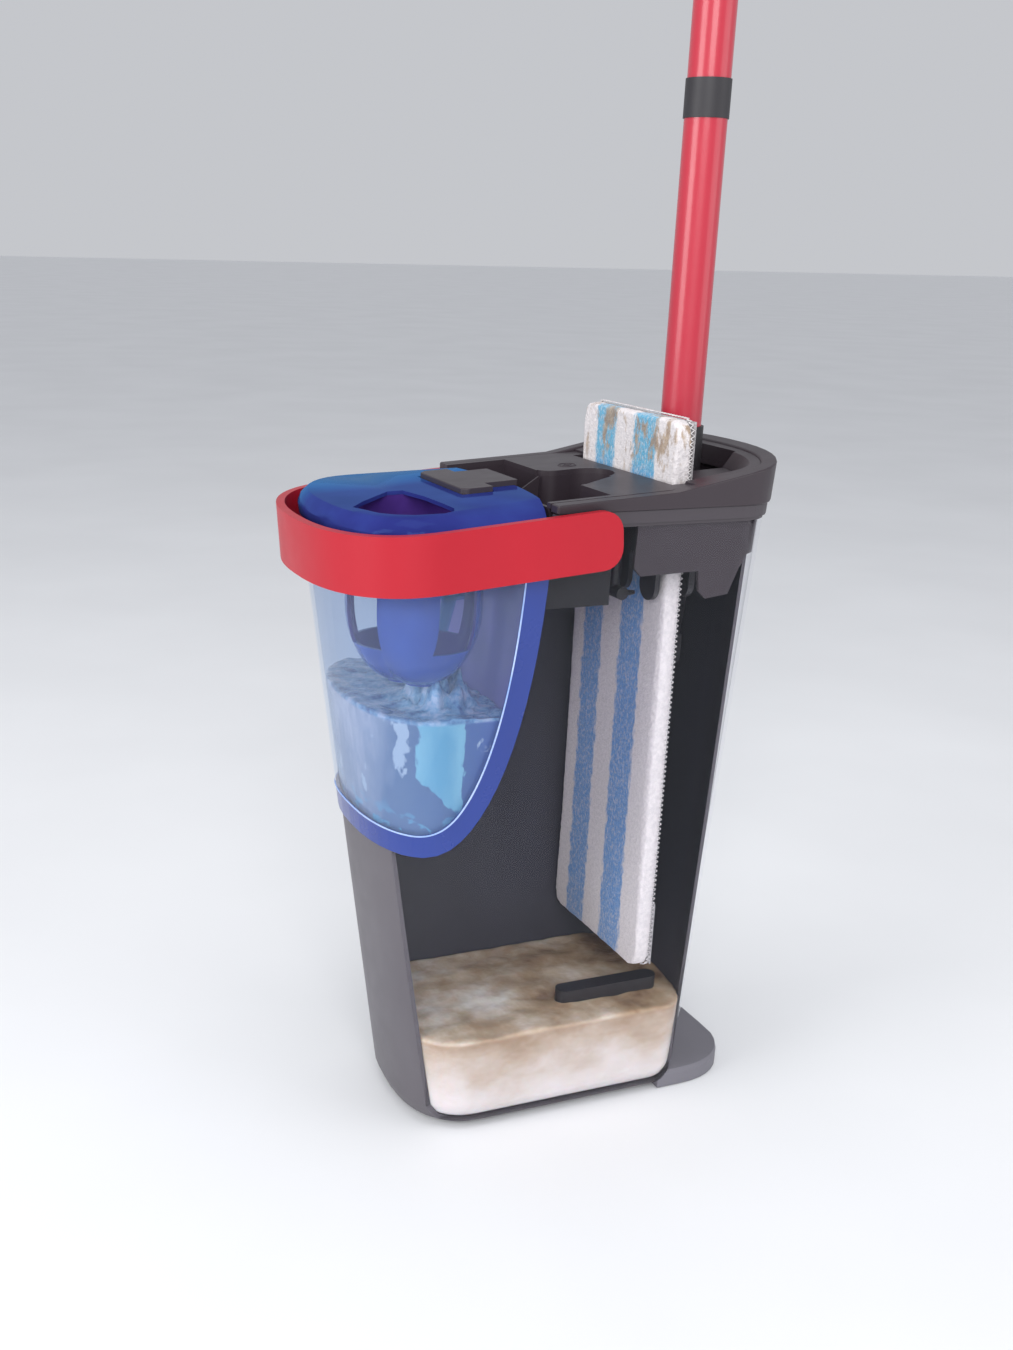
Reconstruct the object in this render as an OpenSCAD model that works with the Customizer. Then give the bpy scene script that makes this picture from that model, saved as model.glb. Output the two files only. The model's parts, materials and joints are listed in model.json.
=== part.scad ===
// Two-tank bucket with a flat mop. Millimetres, +Z up, origin on the floor under the bucket.
// The clean-water tank is at -X, the foot plate at +X, and the mop stands upright in its slot.

/* [Bucket] */
// Height of the bucket's rim above the floor
bucket_h = 400; // [396:1:404]
// Wall thickness of the bucket
wall = 2.4; // [2:0.1:2.8]
// Half width of the bucket at floor level
base_half = 58; // [57:0.5:60]
// Growth of the half width for each millimetre of height
side_slope = 0.055; // [0.05:0.001:0.058]
// Height of the lower edge of the solid rim rail above the clear side panel
rail_z = 376; // [374:1:380]
// Distance of the clear side panel's upright edges from the middle plane
panel_y = 44; // [40:1:48]

/* [Tank] */
// Depth of the clean-water tank below the top of its scoop
tank_depth = 206; // [190:1:210]
// Width of the blue border band round the tank's window
band_w = 14; // [10:1:18]
// Height of the joint between tank and lid
tank_top = 385; // [384:0.5:386]

/* [Insert] */
// Height of the deck's top at the origin
deck_z = 408; // [406:0.5:409]
// Rise of the deck for each millimetre towards the rear
deck_slope = 0.06; // [0.04:0.01:0.07]
// Half width of the mop slot
slot_half = 61; // [60:0.5:62]

/* [Handle] */
// Height of the carrying handle's band
handle_h = 33; // [28:1:34]
// Thickness of the carrying handle's band
handle_t = 5; // [4:0.5:5]
// Rest slope of the handle, in degrees, front end down
handle_tilt = 4.6; // [4:0.1:5]

/* [Mop] */
// Length of the mop pad
pad_len = 350; // [330:5:352]
// Half width of the mop pad
pad_half = 57; // [54:0.5:57]
// Height of the pad's lower end as the mop hangs in its slot
pad_z = 96; // [94:1:98]
// Outer radius of the pole's tubes
pole_r = 12.5; // [11:0.5:12.5]
// Height of the top of the pole above the floor
pole_top = 1440; // [1400:5:1500]

/* [Hidden] */

// Height of the bucket's underside, on its feet
foot_h = 3;
// Outline of the bucket in plan: straight sides, blunt rounded ends
end_n = 2.4;
end_steps = 20;
front_x0 = -62;
front_slope = -0.13;
front_len = 45;
rear_x0 = 62;
rear_slope = 0.03;
rear_len0 = 28;
rear_len_slope = 0.02;
function blunt(v, n) = sign(v) * pow(abs(v), 2 / n);
function half_w(z) = base_half + side_slope * z;
function outline(z, off) = concat(
    [for (i = [0:end_steps]) let (t = -90 + 180 * i / end_steps)
        [front_x0 + front_slope * z - (front_len + off) * blunt(cos(t), end_n),
         (half_w(z) + off) * blunt(sin(t), end_n)]],
    [for (i = [0:end_steps]) let (t = 90 - 180 * i / end_steps)
        [rear_x0 + rear_slope * z + (rear_len0 + rear_len_slope * z + off) * blunt(cos(t), end_n),
         (half_w(z) + off) * blunt(sin(t), end_n)]]);

// A thin slice of the plan outline at one height, grown by off
module slice(z, off) {
    translate([0, 0, z]) linear_extrude(0.02) polygon(outline(z, off));
}
// The tapered form between two heights, grown by off
module loft(z0, z1, off) {
    hull() {
        slice(z0, off);
        slice(z1 - 0.02, off);
    }
}
// The whole outside form of the bucket, with a rounded lower edge
module outer_form() {
    hull() {
        slice(foot_h, -8);
        slice(foot_h + 4, -3);
        slice(foot_h + 13, 0);
        slice(bucket_h - 0.02, 0);
    }
}
module inner_form() {
    hull() {
        slice(foot_h + wall, -10);
        slice(foot_h + 6.5, -3 - wall);
        slice(foot_h + 14, -wall);
        slice(bucket_h + 1, -wall);
    }
}
// A shape drawn in the XZ plane, extruded across the whole width
module side_cut(points, half = 110) {
    rotate([90, 0, 0]) linear_extrude(2 * half, center = true) polygon(points);
}

// Side view of the scoop that the tank fills, inset by i
scoop_x = -122;
scoop_z = 404;
scoop_n = 2.3;
scoop_steps = 36;
function scoop(i) = [for (k = [0:scoop_steps]) let (t = 180 * k / scoop_steps)
    [scoop_x + (cos(t) > 0 ? 74 - i : 112 - i) * blunt(cos(t), scoop_n),
     scoop_z - (tank_depth - i) * blunt(sin(t), scoop_n)]];

// Side panel region: everything nearer than panel_y, between floor and rim rail, and higher behind the pivot
panel_high = 391;
module panel_region() {
    translate([-220, -120, foot_h + wall]) cube([360, 120 - panel_y, rail_z - foot_h - wall]);
    translate([-6, -120, foot_h + wall]) cube([146, 120 - panel_y, panel_high - foot_h - wall]);
}

// Pivot of the carrying handle
pivot_x = -20;
pivot_z = 386;
pin_r = 3;
boss_out = 84.8;
boss_in = 74;
handle_out = 90.5;
handle_in = handle_out - handle_t;

// ---- bucket ----
module bucket_shell() color("dimgray") difference() {
    union() {
        outer_form();
        loft(bucket_h - 7, bucket_h, 1.5);
        for (s = [-1, 1])
            translate([pivot_x, s * boss_in, pivot_z]) rotate([-90 * s, 0, 0])
                cylinder(r = 8, h = boss_out - boss_in, $fn = 48);
    }
    difference() {
        inner_form();
        for (s = [-1, 1])
            translate([pivot_x, s * boss_in, pivot_z]) rotate([-90 * s, 0, 0])
                cylinder(r = 8, h = 6, $fn = 48);
    }
    panel_region();
    side_cut(concat(scoop(0), [[-240, scoop_z], [-240, scoop_z + 20], [-48, scoop_z + 20]]));
    for (s = [-1, 1])
        translate([pivot_x, s * 70, pivot_z]) rotate([-90 * s, 0, 0])
            cylinder(r = pin_r, h = 20, $fn = 48);
}

module side_window() color([0.8, 0.88, 0.95, 0.35]) difference() {
    intersection() {
        difference() {
            outer_form();
            inner_form();
        }
        panel_region();
    }
    side_cut(scoop(0));
}

foot_x = 84;
foot_len = 50;
foot_half = 54;
foot_top = 12;
foot_profile = concat([[foot_x - 16, foot_half]],
    [for (i = [0:end_steps]) let (t = 90 - 180 * i / end_steps)
        [foot_x + foot_len * blunt(cos(t), end_n), foot_half * blunt(sin(t), end_n)]],
    [[foot_x - 16, -foot_half]]);
module foot_plate() color("gray") difference() {
    hull() {
        translate([0, 0, 0.6]) linear_extrude(foot_top - 2.6) polygon(foot_profile);
        translate([0, 0, foot_top - 0.02]) linear_extrude(0.02)
            polygon([for (p = foot_profile) [min(p[0], foot_x + foot_len - 2.5), p[1] * 0.96]]);
    }
    outer_form();
    for (s = [-1, 1]) translate([60, s * 34, -1]) cylinder(r = 8.3, h = 6, $fn = 48);
}

module rubber_feet() color("black") {
    cylinder(r = 10, h = foot_h, $fn = 48);
    for (s = [-1, 1]) {
        translate([-72, s * 32, 0]) cylinder(r = 8, h = foot_h, $fn = 48);
        translate([60, s * 34, 0]) cylinder(r = 8, h = foot_h, $fn = 48);
    }
}

bar_len = 74;
bar_y = -28;
bar_top = 75;
module rest_bar() color("black") translate([0, bar_y, foot_h + wall]) {
    translate([6, -6, 0]) cube([bar_len - 12, 12, bar_top - foot_h - wall]);
    for (x = [6, bar_len - 6])
        translate([x, 0, 0]) cylinder(r = 6, h = bar_top - foot_h - wall, $fn = 48);
}

module handle_pins() color("silver")
    for (s = [-1, 1]) translate([pivot_x, 0, pivot_z]) rotate([-90 * s, 0, 0])
        translate([0, 0, boss_in]) cylinder(r = pin_r, h = handle_out - 1.7 - boss_in, $fn = 48);

// ---- carrying handle ----
handle_front = -93;
handle_bow = 59;
arm_end = 10;
arm_corner = 12;
function bow(w, a) = [for (i = [0:2 * end_steps]) let (t = -90 + 180 * i / (2 * end_steps))
    [handle_front - a * blunt(cos(t), end_n), w * blunt(sin(t), end_n)]];
function corner(cx, cz, r, a0) = [for (i = [0:6]) let (a = a0 + 15 * i) [cx + r * cos(a), cz + r * sin(a)]];
module carry_handle() color("crimson")
    translate([pivot_x, 0, pivot_z]) rotate([0, -handle_tilt, 0]) difference() {
        intersection() {
            linear_extrude(handle_h, center = true) difference() {
                polygon(concat([[arm_end, -handle_out]], bow(handle_out, handle_bow), [[arm_end, handle_out]]));
                polygon(concat([[arm_end + 1, -handle_in]], bow(handle_in, handle_bow - handle_t),
                    [[arm_end + 1, handle_in]]));
            }
            side_cut(concat([[-180, -handle_h / 2 - 1], [arm_end - arm_corner, -handle_h / 2 - 1]],
                corner(arm_end - arm_corner, arm_corner - handle_h / 2, arm_corner, -90),
                corner(arm_end - arm_corner, handle_h / 2 - arm_corner, arm_corner, 0),
                [[-180, handle_h / 2 + 1]]));
        }
        // Blind bores: the pins stop inside the band
        rotate([90, 0, 0]) cylinder(r = pin_r + 0.06, h = 2 * handle_out - 2.8, center = true, $fn = 48);
    }

// ---- insert: the lift-out deck with wringer, hand hollow and pump ----
rim_z = bucket_h + 0.3;
lid_gap = 0.6;
deck_t = 3;
bay_floor = 370;
rim_out = 3;
rim_in = -6;
function deck_at(x) = deck_z + deck_slope * x;
// Rear edge of the lid in plan: an arc through the middle and both sides
arc_mid = -41;
arc_side = -52;
arc_half = 80;
arc_r = (arc_half * arc_half + pow(arc_mid - arc_side, 2)) / (2 * (arc_mid - arc_side));
module lid_side(grow) {
    translate([arc_mid - arc_r, 0, 0]) cylinder(r = arc_r + grow, h = 900, center = true, $fn = 180);
}
// Room kept for the tank and its lid in front of the insert
insert_x0 = -47.9;
module tank_room() {
    lid_side(lid_gap);
    translate([insert_x0 - 60, -110, 390]) cube([60, 220, 60]);
}

slot_x0 = 36.5;
slot_x1 = 57;
notch_x1 = 100;
notch_half = 28;
module slot_cut(z0, z1) {
    translate([slot_x0, -slot_half, z0]) cube([slot_x1 - slot_x0, 2 * slot_half, z1 - z0]);
    translate([slot_x0, -notch_half, z0]) cube([notch_x1 - slot_x0, 2 * notch_half, z1 - z0]);
}

// Hand hollow in plan: a trough across the deck that opens into a round bay towards the slot,
// with a rounded column at the far side of the bay's mouth. g grows it by the wall's thickness.
trough_x0 = -45.3;
trough_x1 = -8;
trough_half = 70;
trough_floor = 345;
bay_x = 13;
bay_y = -1;
bay_r = 17;
column_x = 3;
column_y = 26.2;
column_r = 10.3;
hollow_t = 2;
module bay_plan(g) {
    translate([bay_x, bay_y]) circle(r = bay_r + g * 0.8, $fn = 96);
    polygon([[trough_x1 - 1, -34 - g], [-4, -33 - g], [21, -18 - g], [bay_x, bay_y], [trough_x1 - 1, bay_y]]);
    translate([trough_x1 - 1, bay_y]) square([bay_x - trough_x1 + 1, bay_r + g - 0.1]);
    difference() {
        translate([trough_x1 - 1, 14]) square([column_x - trough_x1 + 1, 10 + g]);
        translate([column_x, column_y]) circle(r = column_r - g, $fn = 72);
    }
}
module hollow_plan(x0 = trough_x0) {
    translate([x0, -trough_half]) square([trough_x1 - x0, 2 * trough_half]);
    bay_plan(0);
}
module insert_deck() color("dimgray") difference() {
    intersection() {
        loft(rim_z, 430, rim_in);
        side_cut([[-70, deck_at(-70) - deck_t], [-70, deck_at(-70)], [112, deck_at(112)], [112, deck_at(112) - deck_t]]);
    }
    tank_room();
    slot_cut(390, 430);
    translate([0, 0, 390]) linear_extrude(40) hollow_plan(-70);
}

// Upper edge of the rim in side view: flush with the deck, then rising to the rear
rise_x = 28;
rise_slope = 0.2;
rear_end = 116;
function rim_at(x) = deck_at(rise_x) + rise_slope * (x - rise_x);
module insert_rim() color("dimgray") difference() {
    intersection() {
        difference() {
            loft(rim_z, 432, rim_out);
            loft(rim_z - 1, 433, rim_in);
        }
        side_cut([[-70, rim_z], [-70, deck_at(-70)], [rise_x, deck_at(rise_x)],
            [rear_end, rim_at(rear_end)], [rear_end, rim_z]]);
    }
    tank_room();
}

// Sloped guide behind the slot, between deck and raised rim
module mop_guide() color("dimgray") difference() {
    intersection() {
        loft(deck_z, 432, rim_in);
        side_cut([[45, deck_at(45)], [45, rim_at(45) - 1],
            [rear_end, rim_at(rear_end) - 1], [rear_end, deck_at(rear_end)]]);
    }
    hull() {
        slice(deck_z, -22);
        slice(432, -5);
    }
    slot_cut(390, 440);
}

skirt_off = -wall - 0.5;
skirt_t = 2.4;
module insert_skirt() color("dimgray") intersection() {
    difference() {
        loft(340, rim_z, skirt_off);
        loft(339, rim_z + 1, skirt_off - skirt_t);
    }
    side_cut([[7, rim_z + 1], [7, 366], [12, 361], [50, 362], [52, 350], [57, 345], [72, 347],
        [78, 362], [83, 370], [116, 370], [116, rim_z + 1]]);
}

// Hollow body under the deck. Its front wall passes under the lid's rear edge, and a thin
// slanted web stiffens the trough beside the column.
web_y = 20;
module above_deck(drop, x1) {
    side_cut([[-200, deck_at(-200) - drop], [x1, deck_at(x1) - drop], [x1, 430], [-200, 430]]);
}
module hand_hollow() color("dimgray") {
    difference() {
        union() {
            translate([trough_x0 - hollow_t, -trough_half - hollow_t, trough_floor])
                cube([trough_x1 - trough_x0 + 2 * hollow_t, 2 * trough_half + 2 * hollow_t, 66]);
            translate([0, 0, bay_floor]) linear_extrude(411 - bay_floor) bay_plan(hollow_t);
        }
        translate([0, 0, trough_floor + hollow_t]) linear_extrude(80)
            translate([trough_x0, -trough_half]) square([trough_x1 - trough_x0, 2 * trough_half]);
        translate([0, 0, bay_floor + hollow_t]) linear_extrude(80) hollow_plan();
        above_deck(deck_t, 40);
        intersection() {
            lid_side(lid_gap);
            translate([-70, -90, tank_top - 1]) cube([40, 180, 50]);
        }
        translate([inlet_x, outlet_y, trough_floor - 1]) cylinder(r = cup_r, h = 5, $fn = 48);
    }
    translate([0, web_y + 1.6, 0]) rotate([90, 0, 0]) linear_extrude(1.6)
        polygon([[-38, trough_floor + hollow_t], [-38, 384.5], [trough_x1, 404.4], [trough_x1, trough_floor + hollow_t]]);
}

// Wringer: a comb of blunt fingers in front of the pad and two short combs behind it
comb_x0 = 32.8;
comb_x1 = 36.3;
finger_t = 3.3;
comb_low = 366;
comb_top = 405;
finger_pitch = 32;
finger_r = 9;
finger_end = 340;
rear_comb_x = 57.2;
rear_comb_t = 5;
rear_comb_y = 46;
module finger(x, y, t) {
    translate([x, y, finger_end + finger_r]) rotate([0, 90, 0]) cylinder(r = finger_r, h = t, $fn = 48);
    translate([x, y - finger_r, finger_end + finger_r]) cube([t, 2 * finger_r, comb_low + 1 - finger_end - finger_r]);
}
screw_r = 1.2;
screw_z = 392;
module comb_front() color("black") difference() {
    union() {
        translate([comb_x0, -60, comb_low]) cube([comb_x1 - comb_x0, 120, comb_top - comb_low]);
        for (k = [-1.5:1:1.5]) finger(comb_x1 - finger_t, k * finger_pitch, finger_t);
    }
    for (s = [-1, 1]) translate([34.5, s * 50, screw_z]) cylinder(r = screw_r, h = 20, $fn = 32);
}
module comb_rear() color("black") for (s = [-1, 1]) difference() {
    union() {
        translate([rear_comb_x, s * rear_comb_y - 15, comb_low]) cube([rear_comb_t, 30, comb_top + 3 - comb_low]);
        finger(rear_comb_x, s * rear_comb_y, rear_comb_t - 1);
    }
    translate([rear_comb_x + 2.5, s * rear_comb_y, screw_z]) cylinder(r = screw_r, h = 20, $fn = 32);
}
module wiper_lip_front() color("black")
    side_cut([[comb_x1, 378], [40.4, 384], [40.4, 386], [comb_x1, 390]], 58);
module wiper_lip_rear() color("black") for (s = [-1, 1]) translate([0, s * 44.5, 0])
    side_cut([[rear_comb_x, 378], [54, 384], [54, 386], [rear_comb_x, 390]], 13.5);
module comb_screws() color("silver") for (s = [-1, 1]) {
    translate([34.5, s * 50, screw_z])
        cylinder(r = screw_r, h = deck_at(33) - deck_t - screw_z, $fn = 32);
    translate([rear_comb_x + 2.5, s * rear_comb_y, screw_z])
        cylinder(r = screw_r, h = deck_at(58) - deck_t - screw_z, $fn = 32);
}

// Water way of the insert: cup under the tank's spout, pipe below the hollow, spray bar at the slot
inlet_x = -37;
outlet_y = -6.5;
cup_r = 5.2;
cup_bore = 4.4;
cup_z0 = 336;
pipe_z = 341;
pipe_r = 3;
spray_x = 25;
spray_r = 4;
module inlet_cup() color("dimgray") translate([inlet_x, outlet_y, 0]) difference() {
    translate([0, 0, cup_z0]) cylinder(r = cup_r, h = 30, $fn = 48);
    translate([0, 0, 351]) cylinder(r = cup_bore, h = 20, $fn = 48);
    translate([0, 0, pipe_z]) cylinder(r = 1.5, h = 20, $fn = 32);
    translate([0, 0, pipe_z]) rotate([0, 90, 0]) cylinder(r = pipe_r, h = 10, $fn = 32);
}
module inlet_seal() color("black") translate([inlet_x, outlet_y, 361]) difference() {
    cylinder(r = cup_bore, h = 2.5, $fn = 48);
    translate([0, 0, -1]) cylinder(r = 3.4, h = 5, $fn = 48);
}
module delivery_pipe() color("darkslategray") translate([inlet_x, outlet_y, pipe_z]) rotate([0, 90, 0])
    difference() {
        cylinder(r = pipe_r, h = spray_x - spray_r + 1 - inlet_x, $fn = 32);
        translate([0, 0, -1]) cylinder(r = 2, h = 80, $fn = 32);
    }
module spray_bar() color("darkslategray") difference() {
    union() {
        translate([spray_x, 0, pipe_z]) rotate([90, 0, 0]) cylinder(r = spray_r, h = 68, center = true, $fn = 48);
        for (k = [-1, 0, 1]) translate([spray_x + spray_r - 1, k * finger_pitch, pipe_z]) rotate([0, 90, 0])
            cylinder(r1 = 2, r2 = 1.2, h = 6, $fn = 32);
        for (s = [-1, 1]) translate([spray_x, s * 24, pipe_z])
            cylinder(r = pipe_r, h = deck_at(spray_x - pipe_r) - deck_t - pipe_z, $fn = 32);
    }
    translate([spray_x - 5, outlet_y, pipe_z]) rotate([0, 90, 0]) cylinder(r = pipe_r, h = 5 - spray_r + 1, $fn = 32);
}

// ---- clean-water tank ----
tank_out = 2;
tank_in = -0.5;
module tank_shell() difference() {
    loft(192, tank_top, tank_out);
    loft(191, tank_top + 1, tank_in);
}
module tank_window() color([0.7, 0.82, 0.95, 0.35]) intersection() {
    tank_shell();
    side_cut(scoop(band_w));
}
module tank_frame() color("royalblue") difference() {
    intersection() {
        tank_shell();
        side_cut(scoop(0.5));
    }
    side_cut(scoop(band_w));
}
module tank_back() color([0.3, 0.45, 0.8, 0.6]) difference() {
    intersection() {
        loft(192, tank_top, tank_in);
        side_cut(scoop(0.5));
    }
    side_cut(scoop(3));
}

// ---- lid, with the dosing pump that hangs from it ----
tank_rear = -48.6;
lid_t = 2.2;
// Pump key: a T in plan, its wide part on the lid and its narrow part over the hand hollow
key_y = 8;
key_x0 = -79;
key_x1 = -60;
key_x2 = -39;
key_half = 34;
key_narrow = 22;
key_t = 5;
key_proud = 3;
key_travel = 6;
well_gap = 0.5;
well_floor = 394.9;
pump_x = -70;
stem_r = 2.5;
gland_r = 5;
barrel_r = 11;
bore_r = 9.6;
barrel_z0 = 336;
barrel_z1 = 393.4;
piston_z = 376;
module key_plan(g) {
    translate([key_x0 - g, key_y - key_half - g]) square([key_x1 - key_x0 + 2 * g, 2 * (key_half + g)]);
    translate([key_x1 - 1, key_y - key_narrow - g]) square([key_x2 - key_x1 + 1 + g, 2 * (key_narrow + g)]);
}
// Domed edge of the lid: height and how far the outline has drawn in there
lid_dome = [[391, 0], [395.5, 2.5], [399, 7], [401.5, 12], [403.5, 18], [408, 34]];
module lid_body(off, drop) intersection() {
    hull() {
        slice(tank_top, off);
        for (d = lid_dome) slice(d[0] - drop, off - d[1]);
    }
    side_cut([[-190, tank_top - 1], [-190, deck_at(-190) - drop], [-30, deck_at(-30) - drop], [-30, tank_top - 1]]);
    lid_side(off - tank_out);
}
fill_opening = [[-146, -28], [-136, -16], [-113, 5.5], [-104, 4], [-100, -20], [-99, -44], [-99, -60],
    [-102, -67], [-109, -70], [-124, -66], [-133, -59], [-139, -51], [-141.5, -42]];
module tank_lid() color([0.25, 0.25, 0.6, 0.8]) difference() {
    union() {
        difference() {
            lid_body(tank_out, 0);
            lid_body(tank_out - lid_t, lid_t);
        }
        intersection() {
            loft(tank_top, tank_top + 2.4, tank_out);
            side_cut([[-200, tank_top - 1], [-200, tank_top + 5], [tank_rear, tank_top + 5], [tank_rear, tank_top - 1]]);
            difference() {
                translate([-60, -90, 380]) cube([20, 180, 20]);
                lid_side(-lid_t);
            }
        }
        intersection() {
            translate([0, 0, barrel_z1]) linear_extrude(20) key_plan(well_gap + 2);
            lid_body(tank_out, 1);
        }
    }
    translate([0, 0, well_floor]) linear_extrude(20) key_plan(well_gap);
    translate([pump_x, key_y, 380]) cylinder(r = gland_r, h = 20, $fn = 48);
    translate([0, 0, 390]) linear_extrude(20) polygon(fill_opening);
    translate([-60, outlet_y, spout_z]) rotate([0, 90, 0]) cylinder(r = spout_r, h = 30, $fn = 32);
}
module lid_gasket() color("black") intersection() {
    difference() {
        union() {
            loft(380, tank_top, tank_in - 0.4);
            loft(tank_top, tank_top + 3, tank_out - lid_t);
        }
        loft(379, tank_top + 4, tank_in - 2.5);
    }
    side_cut([[-200, 370], [-200, 390], [-61, 390], [-61, 370]]);
}

// Funnel bowl under the fill opening: two round bowls run together, with wide windows for the water
funnel_at = [[-113.5, -27], [-107, -38]];
funnel_r = 34.5;
funnel_t = 2;
funnel_bend = 344;
funnel_low = 297;
function bowl(r, z) = [for (u = [0:7.5:75]) [r * cos(u), funnel_bend - (funnel_bend - z) * sin(u)]];
module bowl_form(r, z, z0) for (c = funnel_at) translate([c[0], c[1], 0]) rotate_extrude($fn = 96)
    polygon(concat([[0, 406], [r, 406]], bowl(r, z), [[r * cos(75), z0], [0, z0]]));
module fill_funnel() color([0.25, 0.3, 0.7, 0.6]) difference() {
    intersection() {
        bowl_form(funnel_r, funnel_low, funnel_low + 1);
        union() {
            translate([-160, -90, 280]) cube([100, 120, 106]);
            lid_body(tank_out - lid_t - 0.02, lid_t + 0.02);
        }
    }
    bowl_form(funnel_r - funnel_t, funnel_low + funnel_t, 290);
    translate([0, 0, barrel_z1 - 0.02]) linear_extrude(20) key_plan(well_gap + 2);
    for (a = [20, 110, 200, 290]) translate([funnel_at[0][0], funnel_at[0][1], 322]) rotate([0, 0, a])
        translate([0, -13, 0]) cube([54, 26, 52]);
}

module pump_gland() color("black") translate([pump_x, key_y, barrel_z1]) difference() {
    cylinder(r = gland_r, h = well_floor - barrel_z1, $fn = 48);
    translate([0, 0, -1]) cylinder(r = stem_r + 0.06, h = 8, $fn = 48);
}
module pump_barrel() color("lightblue") translate([pump_x, key_y, 0]) difference() {
    translate([0, 0, barrel_z0]) cylinder(r = barrel_r, h = barrel_z1 - barrel_z0, $fn = 60);
    translate([0, 0, barrel_z0 + 2]) cylinder(r = bore_r, h = 80, $fn = 60);
    translate([0, 0, barrel_z0 - 1]) cylinder(r = 2.4, h = 5, $fn = 32);
    translate([0, -bore_r + 1, port_z]) rotate([90, 0, 0]) cylinder(r = spout_r, h = 3, $fn = 32);
}
spout_r = 3;
spout_z = 389;
port_z = 342;
riser_x = -70;
riser_y = outlet_y;
module outlet_spout() color("slateblue") difference() {
    union() {
        translate([pump_x, key_y - bore_r, port_z]) rotate([90, 0, 0])
            cylinder(r = spout_r, h = key_y - bore_r - outlet_y + spout_r - 0.5, $fn = 32);
        translate([riser_x, riser_y, port_z]) cylinder(r = spout_r, h = spout_z + spout_r - 0.5 - port_z, $fn = 32);
        translate([riser_x, riser_y, spout_z]) rotate([0, 90, 0])
            cylinder(r = spout_r, h = inlet_x - riser_x + spout_r - 0.5, $fn = 32);
        translate([inlet_x, outlet_y, 356]) cylinder(r = spout_r, h = spout_z - 356, $fn = 32);
    }
    translate([pump_x, key_y - bore_r + 1, port_z]) rotate([90, 0, 0])
        cylinder(r = 1.7, h = key_y - bore_r + 1 - outlet_y, $fn = 32);
    translate([riser_x, riser_y, port_z]) cylinder(r = 1.7, h = spout_z - port_z, $fn = 32);
    translate([riser_x, riser_y, spout_z]) rotate([0, 90, 0]) cylinder(r = 1.7, h = inlet_x - riser_x, $fn = 32);
    translate([inlet_x, outlet_y, 355]) cylinder(r = 1.7, h = spout_z - 355, $fn = 32);
}
suction_tilt = 14.5;
suction_len = 118;
module along_suction() translate([pump_x, key_y, barrel_z0]) rotate([0, 180 + suction_tilt, 0]) children();
module suction_pipe() color("lightblue") difference() {
    along_suction() translate([0, 0, -6]) cylinder(r = 4.5, h = suction_len + 6, $fn = 48);
    along_suction() translate([0, 0, -12]) cylinder(r = 3, h = suction_len + 20, $fn = 48);
    translate([-90, -20, barrel_z0]) cube([40, 50, 20]);
}
module suction_filter() color("steelblue") difference() {
    along_suction() translate([0, 0, suction_len]) cylinder(r = 6.2, h = 7, $fn = 48);
    along_suction() translate([0, 0, suction_len - 1]) cylinder(r = 3, h = 6, $fn = 48);
    for (a = [0:60:120]) along_suction() rotate([0, 0, a])
        translate([-10, -0.8, suction_len + 4.5]) cube([20, 1.6, 4]);
}

// Coil spring as one closed sweep: rings of spring_sides points along spring_turns turns
spring_turns = 6;
spring_steps = 96;
spring_sides = 8;
spring_r = 7;
spring_wire = 0.6;
spring_z0 = barrel_z0 + 2.1 + spring_wire;
spring_h = piston_z - 0.1 - spring_wire - spring_z0;
spring_points = [for (i = [0:spring_steps]) let (a = 360 * spring_turns * i / spring_steps)
    for (j = [0:spring_sides - 1]) let (b = 360 * j / spring_sides)
        [(spring_r + spring_wire * cos(b)) * cos(a), (spring_r + spring_wire * cos(b)) * sin(a),
         spring_h * i / spring_steps + spring_wire * sin(b)]];
spring_faces = concat(
    [[for (j = [0:spring_sides - 1]) j]],
    [for (i = [0:spring_steps - 1]) for (j = [0:spring_sides - 1]) let (k = (j + 1) % spring_sides)
        [i * spring_sides + j, (i + 1) * spring_sides + j, (i + 1) * spring_sides + k, i * spring_sides + k]],
    [[for (j = [spring_sides - 1:-1:0]) spring_steps * spring_sides + j]]);
module pump_spring() color("silver") translate([pump_x, key_y, spring_z0])
    polyhedron(spring_points, spring_faces);

module pump_key() color("black") intersection() {
    translate([0, 0, 390]) linear_extrude(40) difference() {
        key_plan(0);
        for (s = [-1, 1]) translate([key_x0, key_y + s * key_half]) rotate([0, 0, 45])
            square(5, center = true);
    }
    side_cut([[-90, deck_at(-90) + key_proud - key_t], [-90, deck_at(-90) + key_proud],
        [-30, deck_at(-30) + key_proud], [-30, deck_at(-30) + key_proud - key_t]]);
}
module pump_piston() color("silver") translate([pump_x, key_y, piston_z]) {
    translate([0, 0, 5]) cylinder(r = stem_r, h = deck_at(pump_x - stem_r) + key_proud - key_t - piston_z - 5, $fn = 48);
    difference() {
        cylinder(r = bore_r - 0.05, h = 6, $fn = 60);
        translate([0, 0, 2]) difference() {
            cylinder(r = 12, h = 2, $fn = 60);
            cylinder(r = 8, h = 2, $fn = 60);
        }
    }
}
module piston_seal() color("black") translate([pump_x, key_y, piston_z + 2.1]) difference() {
    cylinder(r = bore_r - 0.06, h = 1.8, $fn = 60);
    translate([0, 0, -1]) cylinder(r = 8, h = 4, $fn = 60);
}

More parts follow.
